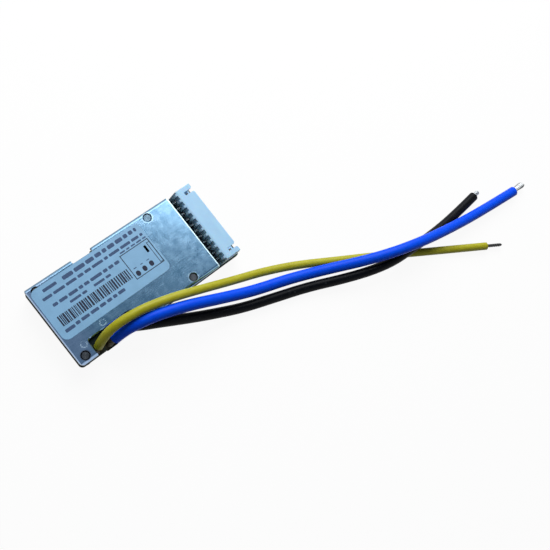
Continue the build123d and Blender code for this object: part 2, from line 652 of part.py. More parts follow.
PARTS = {
    "heatsink_plate": heatsink_plate(),
    "circuit_board": circuit_board(),
    "cover_screws": group([cover_screw(x, y) for x, y in SCREW_PLACES]),
    "product_label": product_label(),
    "header_housing": header_housing(),
    "header_pins": group([header_pin(y) for y in PIN_YS]),
    "header_pin_solder": group([pin_solder(y) for y in PIN_YS]),
    "mosfet_bodies": group([power_body(x) for x in POWER_XS]),
    "mosfet_legs": group(
        [power_tab(x) for x in POWER_XS]
        + [power_leg(x + s * LEG_SPREAD / 2) for x in POWER_XS for s in (-1, 1)]
    ),
    "thermal_pad": thermal_pad(),
    "shunt_resistors": group([
        chip_part(x, SHUNT_Y, SHUNT_L, SHUNT_W, SHUNT_H, SHUNT_CAP, SHUNT_CAP_T, BOARD_Z1, 1)
        for x in SHUNT_XS
    ]),
    "protection_chip": protection_chip(),
    "protection_chip_legs": protection_chip_legs(),
    "balance_resistors": group([
        chip_part(BLEED_X, y, BLEED_L, BLEED_W, BLEED_H, *END_CAP, BOARD_Z0, -1)
        for y in STAGE_YS
    ]),
    "balance_transistors": group([balance_switch(y) for y in STAGE_YS]),
    "balance_transistor_legs": group([leg for y in STAGE_YS for leg in balance_switch_legs(y)]),
    "filter_capacitors": group([
        chip_part(CAP_X, y, CAP_L, CAP_W, CAP_H, *END_CAP, BOARD_Z0, -1)
        for y in STAGE_YS
    ]),
    "filter_resistors": group([
        chip_part(FILTER_X, y, FILTER_L, FILTER_W, FILTER_H, *END_CAP, BOARD_Z0, -1)
        for y in STAGE_YS
    ]),
    "yellow_lead": lead("yellow_lead", YELLOW_ROUTE, YELLOW_D),
    "blue_lead": lead("blue_lead", BLUE_ROUTE, BLUE_D),
    "black_lead": lead("black_lead", BLACK_ROUTE, BLACK_D),
    "yellow_lead_joint": lead_joint(YELLOW_ROUTE, YELLOW_D, YELLOW_CORE_D, YELLOW_JOINT),
    "blue_lead_joint": lead_joint(BLUE_ROUTE, BLUE_D, BLUE_CORE_D, BLUE_JOINT),
    "black_lead_joint": lead_joint(BLACK_ROUTE, BLACK_D, BLACK_CORE_D, BLACK_JOINT),
    "yellow_lead_tip": lead_tip(YELLOW_ROUTE, YELLOW_CORE_D, YELLOW_TIP_L),
    "blue_lead_tip": blue_tip(),
    "black_lead_tip": lead_tip(BLACK_ROUTE, BLACK_CORE_D, BLACK_TIP_L),
}

os.makedirs("parts", exist_ok=True)
for node, shape in PARTS.items():
    export_step(shape, f"parts/{node}.step")
    print(node, "solids", len(shape.solids()), "volume", round(shape.volume, 2))
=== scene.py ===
"""The looks of a battery management board: a green circuit board under a satin aluminium plate,
with a labelled top, a milky balance header and three soldered leads.

Everything is in metres, in the packed model's own frame: +Z up, +X towards the header's mouth.
"""

import math
from functools import partialmethod, reduce
from typing import NamedTuple

import bpy
import numpy as np
from mathutils import Euler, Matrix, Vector


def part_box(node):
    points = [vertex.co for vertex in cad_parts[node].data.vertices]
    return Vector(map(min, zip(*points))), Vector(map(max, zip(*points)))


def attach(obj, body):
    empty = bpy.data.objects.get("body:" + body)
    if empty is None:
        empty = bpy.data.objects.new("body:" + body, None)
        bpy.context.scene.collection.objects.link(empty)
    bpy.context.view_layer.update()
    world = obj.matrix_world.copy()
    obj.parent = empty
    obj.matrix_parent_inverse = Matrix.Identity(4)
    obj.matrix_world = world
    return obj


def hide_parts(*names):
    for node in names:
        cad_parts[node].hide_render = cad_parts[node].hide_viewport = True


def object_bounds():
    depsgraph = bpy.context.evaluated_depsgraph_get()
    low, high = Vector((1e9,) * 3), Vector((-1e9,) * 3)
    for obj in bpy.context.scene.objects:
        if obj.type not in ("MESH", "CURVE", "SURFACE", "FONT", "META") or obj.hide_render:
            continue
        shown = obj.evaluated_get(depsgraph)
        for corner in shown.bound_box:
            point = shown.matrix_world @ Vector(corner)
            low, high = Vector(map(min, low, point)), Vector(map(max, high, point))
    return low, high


bl_info = {
    "name": "Battery management board",
    "version": (1, 0, 0),
    "blender": (4, 5, 0),
    "location": "3D View > Sidebar > Battery Board",
    "description": "Dresses the packed board: finishes, leads, label print, solder and studio",
    "category": "Object",
}

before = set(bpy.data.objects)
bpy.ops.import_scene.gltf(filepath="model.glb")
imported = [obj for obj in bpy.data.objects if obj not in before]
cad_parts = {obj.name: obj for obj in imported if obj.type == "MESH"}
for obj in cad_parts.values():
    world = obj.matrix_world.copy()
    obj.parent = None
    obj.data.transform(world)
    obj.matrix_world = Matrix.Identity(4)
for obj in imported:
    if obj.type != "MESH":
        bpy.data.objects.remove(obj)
CAD_BOX = [list(corner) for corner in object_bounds()]

MM = 0.001
BODY = "root"


def srgb(red, green, blue):
    """An 8-bit display colour as the linear values that a shader takes."""
    display = np.array([red, green, blue]) / 255
    linear = np.where(display <= 0.04045, display / 12.92, ((display + 0.055) / 1.055) ** 2.4)
    return tuple(linear.tolist())


def times(shade, factor, lift=0.0):
    """A colour whose values are each times a factor, with a little added."""
    return tuple(v * factor + lift for v in shade)


def corners(node):
    """The low and the high corner of a CAD node's box."""
    return [np.array(corner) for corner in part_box(node)]


# ---- places taken from the frame

BOARD_LOW, BOARD_HIGH = corners("circuit_board")
PLATE_LOW, PLATE_HIGH = corners("heatsink_plate")
HEADER_LOW, HEADER_HIGH = corners("header_housing")
LABEL_TOP = corners("product_label")[1][2]

WAYS = 11
PITCH = 2.5 * MM
PIN_YS = (np.arange(WAYS) - (WAYS - 1) / 2) * PITCH
PIN_W = 0.64 * MM
PIN_X = corners("header_pins")[0][0] + PIN_W / 2
COMB_X = HEADER_LOW[0] + 3.3 * MM
CELL_YS = (np.arange(WAYS - 1) - (WAYS - 2) / 2) * PITCH

SCREW_FROM_LEFT = 3.0 * MM
SCREW_FROM_PLATE_END = 10.2 * MM
SCREW_FROM_SIDE = 2.3 * MM
SCREW_R = 1.5 * MM
SCREW_XS = (PLATE_LOW[0] + SCREW_FROM_LEFT, PLATE_HIGH[0] - SCREW_FROM_PLATE_END)
SCREW_YS = (PLATE_LOW[1] + SCREW_FROM_SIDE, PLATE_HIGH[1] - SCREW_FROM_SIDE)

# The middles of the three shunts, whose row starts at the plate's header end
SHUNT_XS = [PLATE_HIGH[0] - (3.7 + 8.0 * i) * MM for i in range(3)]

# The lead notch's left end at the board's front edge, which the leads' runs count from
NOTCH_FROM_LEFT = 6.4 * MM
NOTCH_X = PLATE_LOW[0] + NOTCH_FROM_LEFT
NOTCH_Y = BOARD_LOW[1]

# Two faint rings that a tool left on the plate, in front of the label
SCRIBED_RINGS = ((-20.2 * MM, -7.6 * MM), (-29.2 * MM, -9.9 * MM))
SCRIBED_R = 1.0 * MM

# The middle of each jacket, in millimetres from the lead notch
YELLOW_RUN_MM = [
    (1.85, 2.45, 5.9), (3.4, 3.1, 8.8), (6.8, 3.9, 12.3),
    (11.95, 3.85, 14.5), (19.8, 2.85, 15.05), (29.6, 0.35, 14.15),
    (39.6, -2.8, 11.55), (52.35, -6.65, 6.55), (64.8, -10.35, 2.9),
    (77.95, -16.0, 1.6), (91.5, -23.65, 1.55), (105.3, -31.2, 1.55),
    (120.4, -40.15, 1.55), (135.85, -49.1, 1.55), (149.95, -57.25, 1.55),
]
BLUE_RUN_MM = [
    (7.6, 1.45, 6.5), (10.9, 1.4, 9.95), (15.45, 0.35, 12.65),
    (22.4, -1.35, 13.7), (32.6, -4.7, 12.1), (44.05, -9.15, 8.45),
    (56.95, -14.05, 4.9), (71.5, -18.45, 3.35), (86.1, -24.5, 3.95),
    (97.25, -30.0, 7.3), (106.85, -34.05, 9.9), (117.4, -37.35, 10.35),
    (133.1, -40.85, 7.1), (156.05, -44.8, 2.75), (178.25, -47.45, 2.1),
]
BLACK_RUN_MM = [
    (12.5, 2.65, 5.6), (14.6, 1.1, 7.4), (17.45, -0.85, 8.8),
    (21.1, -2.85, 9.35), (26.05, -5.35, 8.35), (32.75, -8.5, 5.95),
    (40.9, -12.15, 3.7), (50.75, -16.45, 2.35), (62.35, -20.4, 2.0),
    (75.45, -24.9, 1.9), (88.2, -30.7, 3.25), (99.0, -35.05, 5.2),
    (109.05, -37.6, 5.55), (119.8, -38.4, 5.15), (132.1, -39.4, 3.25),
    (146.65, -39.35, 2.1), (160.45, -38.3, 1.9),
]


class Lead(NamedTuple):
    """One lead, with its run in millimetres and every other measure in metres.

    Its core goes down by stub into a mound of solder, and shows so many strands there.
    """

    run: list
    diameter: float
    length: float
    core_r: float
    stub: float
    mound_r: float
    mound_h: float
    strands: int

    def route(self):
        """The lead's route in the frame: its run, moved to the lead notch."""
        return np.array(self.run) * MM + np.array([NOTCH_X, NOTCH_Y, 0.0])


LEADS = {
    "yellow": Lead(YELLOW_RUN_MM, 3.1 * MM, 0.1688, 0.6 * MM, 2.2 * MM, 1.6 * MM, 1.5 * MM, 7),
    "blue": Lead(BLUE_RUN_MM, 4.1 * MM, 0.184, 1.3 * MM, 2.6 * MM, 1.65 * MM, 2.3 * MM, 12),
    "black": Lead(BLACK_RUN_MM, 3.8 * MM, 0.1589, 0.875 * MM, 1.6 * MM, 1.85 * MM, 2.9 * MM, 9),
}


# ---- settings that a user would change


def setting(kind, **limits):
    """A maker of settings of one kind, each with its name, description and default."""

    def make(name, description, default):
        return kind(name=name, description=description, default=default, **limits)

    return make


colour = setting(bpy.props.FloatVectorProperty, subtype="COLOR", min=0.0, max=1.0)
length = setting(bpy.props.FloatProperty, unit="LENGTH", min=0.0, precision=5)
share = setting(bpy.props.FloatProperty, subtype="FACTOR", min=0.0, max=1.0)
power = setting(bpy.props.FloatProperty, unit="POWER", min=0.0)
faces_round = setting(bpy.props.IntProperty, min=12, max=96)


class PlateSettings(bpy.types.PropertyGroup):
    """The aluminium plate's finish."""

    light: colour("Light metal", "The clear patches of the satin surface", srgb(145, 181, 209))
    dark: colour("Dull metal", "The cloudy patches of the satin surface", srgb(106, 149, 182))
    roughness: share("Roughness", "How dull the satin surface is", 0.23)
    # Painted light: the plate's lead end is given a lighter colour than the rest.
    painted_light_left_end: colour("Left end", "The slightly warmer metal at the lead end", srgb(166, 187, 222))
    cloud: length("Cloud size", "How wide the cloudy patches are", 2.2 * MM)
    # The bright colour of two hole rims and the scribed rings, and also a painted highlight along
    # the short edge.
    bright_metal_and_highlight: colour("Burnished edge", "The bright line along the short edge", srgb(228, 250, 255))


class LabelSettings(bpy.types.PropertyGroup):
    """The label's film and its print."""

    film: colour("Film", "The label's own colour", srgb(139, 190, 230))
    ink: colour("Ink", "The printed bars, dots and frame", srgb(18, 28, 52))
    grey_ink: colour("Grey ink", "The strips that stand for printed lines", srgb(54, 78, 114))
    ink_height: length("Ink height", "How far the print stands proud of the film", 0.012 * MM)


class BoardSettings(bpy.types.PropertyGroup):
    """The circuit board's mask, edge, pads and legend."""

    mask: colour("Mask", "The solder mask over bare laminate", srgb(8, 44, 30))
    track: colour("Track", "The solder mask over copper", srgb(16, 66, 42))
    laminate: colour("Laminate", "The glass laminate at the cut edge", srgb(40, 44, 30))
    legend: colour("Legend", "The printed part outlines", srgb(216, 220, 214))
    pad_height: length("Pad height", "How far the tinned pads stand proud", 0.04 * MM)


class HeaderSettings(bpy.types.PropertyGroup):
    """The balance header's moulding and pins."""

    nylon: colour("Nylon", "The milky moulding", srgb(177, 222, 254))
    nylon_dull: colour("Dull nylon", "The moulding's slightly greyer swirls", srgb(169, 214, 249))
    # The tin is darkened as painted shade for the pins in the gap behind the header; the legs and
    # caps share it.
    tin: colour("Tin", "The tinned pins", srgb(128, 134, 138))


class LeadSettings(bpy.types.PropertyGroup):
    """The three leads' jackets and bared ends."""

    yellow: colour("Yellow", "The thin lead's jacket", srgb(172, 168, 22))
    blue: colour("Blue", "The thick lead's jacket", srgb(0, 78, 242))
    black: colour("Black", "The third lead's jacket", srgb(4, 5, 9))
    tinned: colour("Tinned copper", "The black lead's twisted, tinned strands", srgb(176, 182, 186))
    # The near-white core is bright tin, and partly a painted highlight on its lit end.
    bare: colour("Bare strands", "The thin lead's duller strands", srgb(74, 74, 74))
    bright: colour("Bright core", "The thick lead's freshly tinned core", srgb(246, 250, 252))
    rings: faces_round("Rings", "Faces round a lead's jacket", 40)


class SmallPartSettings(bpy.types.PropertyGroup):
    """The moulded, ceramic and metal small parts."""

    moulding: colour("Moulding", "Transistor and chip bodies", srgb(34, 35, 38))
    resistor: colour("Resistor", "The film on the resistors", srgb(26, 27, 30))
    capacitor: colour("Capacitor", "The capacitors' ceramic", srgb(150, 126, 98))
    solder: colour("Solder", "Solder and tinned pads", srgb(188, 193, 196))
    # The steel is dark as painted shade for the screw ends down in their holes.
    steel: colour("Steel", "The cover screws", srgb(60, 64, 70))
    pad: colour("Thermal pad", "The soft sheet under the plate", srgb(138, 142, 150))


class StageSettings(bpy.types.PropertyGroup):
    """The studio: floor, lamp and world."""

    floor: colour("Floor", "The pale floor", srgb(252, 252, 252))
    bounce: colour("Bounce", "The floor as it lights the object from below", (0.15, 0.15, 0.15))
    shadow: share("Shadow", "How much of the floor's own shading the camera sees", 0.07)
    main_lamp: power("Main lamp", "The large soft lamp", 3.15)
    world: share("World", "The strength of the even light all round", 0.14)
    ceiling: colour("Ceiling", "The studio's dim ceiling, as metal shows it", (0.15, 0.21, 0.26))


SETTINGS = {
    "battery_board_plate": PlateSettings,
    "battery_board_label": LabelSettings,
    "battery_board_board": BoardSettings,
    "battery_board_header": HeaderSettings,
    "battery_board_leads": LeadSettings,
    "battery_board_small": SmallPartSettings,
    "battery_board_stage": StageSettings,
}


# ---- shader maths


class Wire:
    """An output socket. Python's operators on it add the Math nodes that work them out."""

    def __init__(self, finish, socket):
        self.finish = finish
        self.socket = socket

    def maths(self, operation, *others):
        """One Math node on this value and others."""
        inputs = dict(enumerate((self, *others)))
        return self.finish.node("ShaderNodeMath", {"operation": operation}, inputs)

    __add__ = __radd__ = partialmethod(maths, "ADD")
    __mul__ = __rmul__ = partialmethod(maths, "MULTIPLY")
    __sub__ = partialmethod(maths, "SUBTRACT")
    __truediv__ = partialmethod(maths, "DIVIDE")
    __lt__ = partialmethod(maths, "LESS_THAN")
    __gt__ = partialmethod(maths, "GREATER_THAN")
    __abs__ = partialmethod(maths, "ABSOLUTE")
    least = partialmethod(maths, "MINIMUM")
    most = partialmethod(maths, "MAXIMUM")

    def __rsub__(self, other):
        return self.finish.node("ShaderNodeMath", {"operation": "SUBTRACT"}, {0: other, 1: self})

    def ramp(self, low, high):
        """Nought below low, one above high and a straight rise between; low may be the higher."""
        inputs = {0: self, 1: low, 2: high, 3: 0.0, 4: 1.0}
        return self.finish.node("ShaderNodeMapRange", {"clamp": True}, inputs)


class Nodes:
    """A node tree being filled."""

    def __init__(self, tree):
        self.tree = tree

    def node(self, kind, settings, inputs, output=0):
        """A node with its settings made first, then its sockets filled or linked."""
        made = self.tree.nodes.new(kind)
        for key, value in settings.items():
            setattr(made, key, value)
        for key, value in inputs.items():
            if isinstance(value, Wire):
                self.tree.links.new(value.socket, made.inputs[key])
            else:
                made.inputs[key].default_value = value
        return Wire(self, made.outputs[output])

    def mix(self, factor, first, second):
        """A colour from first to second as factor goes from nought to one."""
        ends = [end if isinstance(end, Wire) else (*end, 1.0) for end in (first, second)]
        inputs = {0: factor, 6: ends[0], 7: ends[1]}
        return self.node("ShaderNodeMix", {"data_type": "RGBA"}, inputs, 2)

    def layers(self, shade, *coats):
        """A colour with others laid over it in turn, each of them a factor and a colour."""
        for factor, coat in coats:
            shade = self.mix(factor, shade, coat)
        return shade

    def patches(self, factor, shade, by, lift=0.0):
        """A colour that goes to itself times by, plus lift, as factor goes to one."""
        return self.mix(factor, shade, times(shade, by, lift))

    def end(self, output, shading):
        """Links the last shading node to the tree's output."""
        self.tree.links.new(shading.socket, self.tree.nodes[output].inputs["Surface"])

    def path(self, *kinds):
        """One where a ray is of any of those kinds, else nought."""
        rays = [self.node("ShaderNodeLightPath", {}, {}, f"Is {kind} Ray") for kind in kinds]
        return reduce(Wire.most, rays)


class Finish(Nodes):
    """A material being made: its nodes, its shader and what feeds the shader."""

    def __init__(self, name, **constants):
        self.material = bpy.data.materials.new(name)
        self.material.use_nodes = True
        super().__init__(self.material.node_tree)
        self.shader = self.tree.nodes["Principled BSDF"]
        for socket, value in constants.items():
            self.shader.inputs[socket.replace("_", " ")].default_value = value
        self.coordinates = self.node("ShaderNodeTexCoord", {}, {}, "Object")

    def axis(self, letter):
        """One of the object's own coordinates, in metres."""
        return self.node("ShaderNodeSeparateXYZ", {}, {0: self.coordinates}, letter)

    def fade(self, letter, low, high):
        """A ramp along one of the object's own coordinates."""
        return self.axis(letter).ramp(low, high)

    def noise(self, size, detail=2.0, stretch=(1.0, 1.0, 1.0), turn=0.0, warp=0.0):
        """Smooth noise whose patches are about size across, stretched and turned about Z."""
        mapping = {0: self.coordinates, "Rotation": (0.0, 0.0, turn), "Scale": stretch}
        place = self.node("ShaderNodeMapping", {}, mapping)
        inputs = {"Vector": place, "Scale": 1.0 / size, "Detail": detail, "Distortion": warp}
        return self.node("ShaderNodeTexNoise", {}, inputs)

    def cells(self, size):
        """Distance to the nearest of scattered points about size apart."""
        inputs = {"Vector": self.coordinates, "Scale": 1.0 / size}
        return self.node("ShaderNodeTexVoronoi", {}, inputs)

    def bump(self, height, distance, strength, normal=None):
        """A bump of that height in metres, over another bump if one is given."""
        inputs = {"Height": height, "Distance": distance, "Strength": strength}
        if normal is not None:
            inputs["Normal"] = normal
        return self.node("ShaderNodeBump", {}, inputs)

    def feed(self, shade, rough=None, relief=None, **others):
        """Links the colour, the roughness and the relief to the shader, and others by name."""
        wires = {"Base_Color": shade, "Roughness": rough, "Normal": relief, **others}
        for name, wire in wires.items():
            if wire is not None:
                self.tree.links.new(wire.socket, self.shader.inputs[name.replace("_", " ")])
        return self.material


def ring_distance(finish, places):
    """The distance in X and Y to the nearest of several upright axes, as a wire."""
    x, y = finish.axis("X"), finish.axis("Y")
    gaps = [((x - px) * (x - px) + (y - py) * (y - py)).maths("SQRT") for px, py in places]
    return reduce(Wire.least, gaps)


# ---- meshes from arrays


def put_in_scene(name, data):
    """A new object of some data, linked to the scene."""
    made = bpy.data.objects.new(name, data)
    bpy.context.scene.collection.objects.link(made)
    return made


def link_piece(name, data, material):
    """An object of some data in one material, which rides on the body."""
    data.materials.append(material)
    piece = put_in_scene(name, data)
    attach(piece, BODY)
    return piece


def put_piece(name, solid, material, smooth=True, painted_shade=None):
    """A mesh piece at the origin from arrays of points and of faces, and, if given, a painted shade
    at each point.
    """
    points, faces = solid
    mesh = bpy.data.meshes.new(name)
    mesh.from_pydata(np.asarray(points).tolist(), [], [list(map(int, face)) for face in faces])
    mesh.polygons.foreach_set("use_smooth", np.full(len(mesh.polygons), smooth))
    if painted_shade is not None:
        mesh.attributes.new("painted_shade", "FLOAT", "POINT").data.foreach_set("value", painted_shade)
    mesh.update()
    return link_piece(name, mesh, material)


def grid_faces(rows, columns, closed=False):
    """Quads of a grid of points, row by row, whose columns join up, and its rows if closed."""
    i, j = np.meshgrid(np.arange(rows if closed else rows - 1), np.arange(columns), indexing="ij")
    row, next_row = i * columns, (i + 1) % rows * columns
    next_j = (j + 1) % columns
    quads = np.stack([row + j, row + next_j, next_row + next_j, next_row + j], -1)
    return quads.reshape(-1, 4)


def closed_tube(rings):
    """A tube from an array of rings, (rows, columns, 3), shut at both ends by fans of triangles.

    Each end gets a middle point, the mean of its ring, so the tube is a closed solid.
    """
    rows, columns, _ = rings.shape
    points = np.concatenate([rings.reshape(-1, 3), rings[:1].mean(1), rings[-1:].mean(1)])
    j = np.arange(columns)
    next_j = (j + 1) % columns
    last = (rows - 1) * columns
    middles = np.full((2, columns), [[rows * columns], [rows * columns + 1]])
    start = np.stack([next_j, j, middles[0]], -1)
    end = np.stack([last + j, last + next_j, middles[1]], -1)
    return points, [*grid_faces(rows, columns), *start, *end]


def several(solids):
    """Points and faces of several closed shapes, joined into one list of each."""
    points, faces, count = [], [], 0
    for solid_points, solid_faces in solids:
        points.append(solid_points)
        faces.extend(face + count for face in solid_faces)
        count += len(solid_points)
    return np.concatenate(points), faces


def axes_along(heading):
    """A heading at unit length, a level unit vector square to it, and one square to both."""
    heading = np.asarray(heading) / np.linalg.norm(heading)
    level = np.cross([0.0, 0.0, 1.0], heading)
    level /= np.linalg.norm(level)
    return heading, level, np.cross(heading, level)


def ring_grid(rows, columns):
    """Shares of a length as a column, and angles once round as a row."""
    angle = np.linspace(0.0, 2 * np.pi, columns, endpoint=False)
    return np.linspace(0.0, 1.0, rows)[:, None], angle[None, :]


def rings_along(start, axes, forward, angle, r):
    """Points at a radius and angle round a straight line, so far forward from its start."""
    heading, level, up = axes
    outward = np.cos(angle)[..., None] * level + np.sin(angle)[..., None] * up
    return np.asarray(start) + forward[..., None] * heading + r[..., None] * outward


def twisted_bundle(start, heading, length, radius, strands, turns, taper=0.85):
    """A soldered bundle of twisted strands, as one ridged surface.

    At a share s of the length and an angle a round it, the radius is the bundle's own times
    1 - depth (1 - |cos(strands (a - 2 pi turns s) / 2)|), so ridges wind round it. Beyond the
    share taper it rounds off to a blunt end by the square root of what is left. The second
    array is nought on the ridges and one in the grooves, with two more points for the ends.
    """
    depth = 0.22
    along, angle = ring_grid(36, 72)
    ridge = 1 - depth * (1 - np.abs(np.cos(strands * (angle - 2 * np.pi * turns * along) / 2)))
    blunt = np.sqrt(np.clip((1 - along) / (1 - taper), 0.0, 1.0)) * 0.75 + 0.25
    r = radius * ridge * blunt
    # The second array is painted shade: dark in the grooves between the strands.
    painted_shade = np.append(((1 - ridge) / depth).ravel(), [0.3, 0.3])
    return rings_along(start, axes_along(heading), along * length, angle, r), painted_shade


def flared_core(start, heading, length, near_r, far_r, lean):
    """The thick lead's tinned core, which widens towards its end and is cut a little aslant.

    At a share s of the length the radius goes straight from near_r to far_r, times
    1 - depth (1 - |cos(6 a)|) at the angle a, which leaves shallow strands. The last fifth
    rounds off by the square root of what is left. Each point then moves back along the heading
    by its distance to the left times the tangent of lean, times s. The second array shades the
    core: it is one at the far end's right side, 0.8 below and 0.74 along the left edge.
    """
    depth = 0.07
    along, angle = ring_grid(30, 72)
    left, upper = np.cos(angle), np.sin(angle)
    blunt = np.sqrt(np.clip((1 - along) / 0.2, 0.0, 1.0)) * 0.45 + 0.55
    strands = 1 - depth * (1 - np.abs(np.cos(6 * angle)))
    r = (near_r + (far_r - near_r) * along) * strands * blunt
    forward = along * length - left * r * math.tan(lean) * along
    shaded = np.clip((0.75 * along - 0.88 - left) / 0.15, 0.0, 1.0)
    edge = np.clip((left - 0.5) / 0.2, 0.0, 1.0) * 0.74
    below = np.clip(-upper * 4, 0.0, 0.8)
    # The second array is painted shade for the core's colour.
    painted_shade = np.append(np.maximum(np.maximum(shaded, edge), below).ravel(), [0.3, 0.2])
    return rings_along(start, axes_along(heading), forward, angle, r), painted_shade


def solder_mound(x, y, z, radius, height, turn):
    """A fillet of solder: wide at the pad, drawn in to a neck.

    The radius falls from 1 to neck as (1 - t) to the power 2.2, over a share t of the height,
    and swells by a slow wave round the mound that dies out towards the neck.
    """
    neck, swell = 0.5, 0.05
    t, angle = ring_grid(18, 48)
    wave = 1 + swell * (1 - t) * (np.sin(2 * angle + turn) + 0.5 * np.sin(3 * angle - turn))
    r = radius * (neck + (1 - neck) * (1 - t) ** 2.2) * wave
    rise = z + height * t ** 0.9 + 0 * r
    return np.stack([x + r * np.cos(angle), y + r * np.sin(angle), rise], -1)


def ink_blocks(bars, z, height, corners=5):
    """Low rounded blocks on a level face, closed below, one for each row of bars.

    A row holds the middle's X and Y, half the length, half the width and the corner's radius.
    The outline is four quarter circles round the corners of the inner rectangle.
    """
    quarter = np.repeat(np.arange(4), corners)
    angle = (quarter + np.tile(np.linspace(0.0, 1.0, corners), 4)) * np.pi / 2
    side_x, side_y = np.array([1, -1, -1, 1])[quarter], np.array([1, 1, -1, -1])[quarter]
    place = np.arange(4 * corners)
    faces = [*grid_faces(2, 4 * corners), place + 4 * corners, place[::-1]]
    solids = []
    for x0, y0, half_l, half_w, r in bars:
        x = x0 + side_x * (half_l - r) + r * np.cos(angle)
        y = y0 + side_y * (half_w - r) + r * np.sin(angle)
        level = [np.stack([x, y, np.full_like(x, at)], -1) for at in (z, z + height)]
        solids.append((np.concatenate(level), faces))
    return several(solids)


def flat_rings(places, inner, outer, z0, z1, columns=36):
    """Flat washers: for each place four circles, inner and outer at two heights, joined round."""
    angle = ring_grid(1, columns)[1]
    r = np.array([outer, outer, inner, inner])[:, None]
    z = np.array([z0, z1, z1, z0])[:, None] + 0 * angle
    faces = grid_faces(4, columns, closed=True)
    return several(
        (np.stack([x + r * np.cos(angle), y + r * np.sin(angle), z], -1).reshape(-1, 3), faces)
        for x, y in places
    )


# ---- finishes


def satin_aluminium(settings):
    """Satin sheet: faint clouds and rolling streaks, brighter rims, a painted highlight along the
    short end and two rings.

    The back edge, the cut sides and the rim of the hole by the leads are darker: painted shade.
    """
    right, back, top = PLATE_HIGH
    finish = Finish("satin_aluminium", Metallic=1.0)
    cloud = finish.noise(settings.cloud, detail=4.0, stretch=(1.0, 0.75, 1.0), turn=0.7, warp=0.4)
    broad = finish.noise(settings.cloud * 5, detail=1.0)
    streak = finish.noise(settings.cloud / 6, stretch=(0.12, 1.6, 1.0), turn=0.7)
    mottle = (cloud * 0.55 + broad * 0.1 + streak * 0.45).ramp(0.36, 0.76)
    rim = ring_distance(finish, [(SCREW_XS[1], y) for y in SCREW_YS])
    worn = rim.ramp(SCREW_R * 1.5, SCREW_R * 1.1) * cloud.ramp(0.2, 0.55) * 0.26
    scribed = abs(ring_distance(finish, SCRIBED_RINGS) - SCRIBED_R).ramp(0.34 * MM, 0.1 * MM)
    worn = worn.most(scribed * streak.ramp(0.42, 0.6) * 0.4)
    # The bright line along the short edge is a painted highlight.
    worn = worn.most(finish.fade("X", right - 0.6 * MM, right - 0.35 * MM))
    # rolled: painted shade, a darker band along the back edge
    rolled = finish.fade("Y", back - 1.5 * MM, back - 0.7 * MM)
    # left: where the painted light lightens the lead end of the plate
    left = finish.fade("X", PLATE_LOW[0] + 12.0 * MM, PLATE_LOW[0] + 4.0 * MM)
    # Painted shade: a dark ring round the hole by the leads.
    hole_rim_shade = ring_distance(finish, [(SCREW_XS[0], SCREW_YS[0])])
    hole_rim_shade = hole_rim_shade.ramp(SCREW_R * 1.26, SCREW_R * 1.12)
    # side: painted shade, the plate's cut sides darkened all round
    side = finish.fade("Z", top - 0.7 * MM, top - 1.3 * MM)
    sawn = finish.noise(0.5 * MM, detail=3.0, stretch=(0.3, 0.3, 2.5))
    metal = finish.layers(
        settings.dark, (mottle, settings.light), (left * 0.7, settings.painted_light_left_end),
        (rolled * 0.85, times(settings.light, 0.42)), (worn, settings.bright_metal_and_highlight),
        (hole_rim_shade * 0.9, srgb(58, 64, 78)),
        (side, finish.mix(sawn, srgb(52, 62, 72), srgb(92, 106, 118))),
    )
    satin = settings.roughness + (mottle - 0.5) * 0.06 + worn * 0.3
    rough = reduce(Wire.most, [satin, side * 0.62, rolled * 0.6, hole_rim_shade * 0.5])
    relief = finish.bump(cloud * 0.5 + streak * 0.5 + sawn * side, 0.012 * MM, 0.3)
    return finish.feed(metal, rough, relief)


def label_film(settings):
    """Satin film with faint cloudiness, fine grain and a few shallow ripples."""
    finish = Finish("label_film", Specular_IOR_Level=0.45)
    cloud = finish.noise(4.0 * MM)
    grain = finish.noise(0.35 * MM, detail=1.0)
    shade = (cloud * 0.7 + grain * 0.3).ramp(0.3, 0.72)
    film = finish.mix(shade, times(settings.film, 0.86), settings.film)
    rough = 0.34 + shade * 0.12
    relief = finish.bump(cloud, 0.05 * MM, 0.5, finish.bump(grain, 0.006 * MM, 0.4))
    return finish.feed(film, rough, relief)


def printing_ink(name, ink):
    """Matt ink that lies a little thin in places."""
    finish = Finish(name, Specular_IOR_Level=0.3)
    thin = finish.noise(0.5 * MM, detail=3.0).ramp(0.35, 0.8)
    shade = finish.patches(thin, ink, 1.6, 0.008)
    return finish.feed(shade, 0.5 + thin * 0.2)


# Where the tracks to the pins start, where the wide power copper ends, and the mask's depth
TRACKS_FROM_X = -1.0 * MM
POWER_END_X = -3.0 * MM
MASK_T = 0.03 * MM


def solder_mask(settings):
    """Green mask over laminate and copper, with the laminate's own layers at the cut edge.

    Copper runs lie along X under each header way and as broad fields over the power end.
    """
    finish = Finish("solder_mask", Coat_Roughness=0.12, Coat_IOR=1.5)
    x, y, z = (finish.axis(letter) for letter in "XYZ")
    run = abs((y / PITCH + 0.5).maths("FRACT") - 0.5) < 0.17
    along = (x > TRACKS_FROM_X) * (x < PIN_X)
    field = finish.noise(7.0 * MM, detail=0.0, stretch=(0.6, 1.0, 1.0)) > 0.52
    copper = (run * along).most(field * (x < POWER_END_X))
    edge = (z > BOARD_LOW[2] + MASK_T) * (z < BOARD_HIGH[2] - MASK_T)
    weave = finish.noise(0.25 * MM, detail=1.0, stretch=(1.0, 1.0, 5.0)).ramp(0.3, 0.7)
    speck = finish.noise(0.4 * MM).ramp(0.3, 0.75)
    shade = finish.layers(
        finish.patches(speck, settings.mask, 0.8), (copper, settings.track),
        (edge, finish.patches(weave, settings.laminate, 0.45)),
    )
    face = 1 - edge
    relief = finish.bump(copper * face, MASK_T, 0.6)
    return finish.feed(shade, 0.28 + edge * 0.45, relief, Coat_Weight=face * 0.35)


def board_legend(settings):
    """White printed outlines, slightly uneven."""
    finish = Finish("board_legend")
    patch = finish.noise(0.3 * MM).ramp(0.3, 0.7)
    worn = finish.patches(patch, settings.legend, 0.8)
    return finish.feed(worn, 0.55 + patch * 0.15)


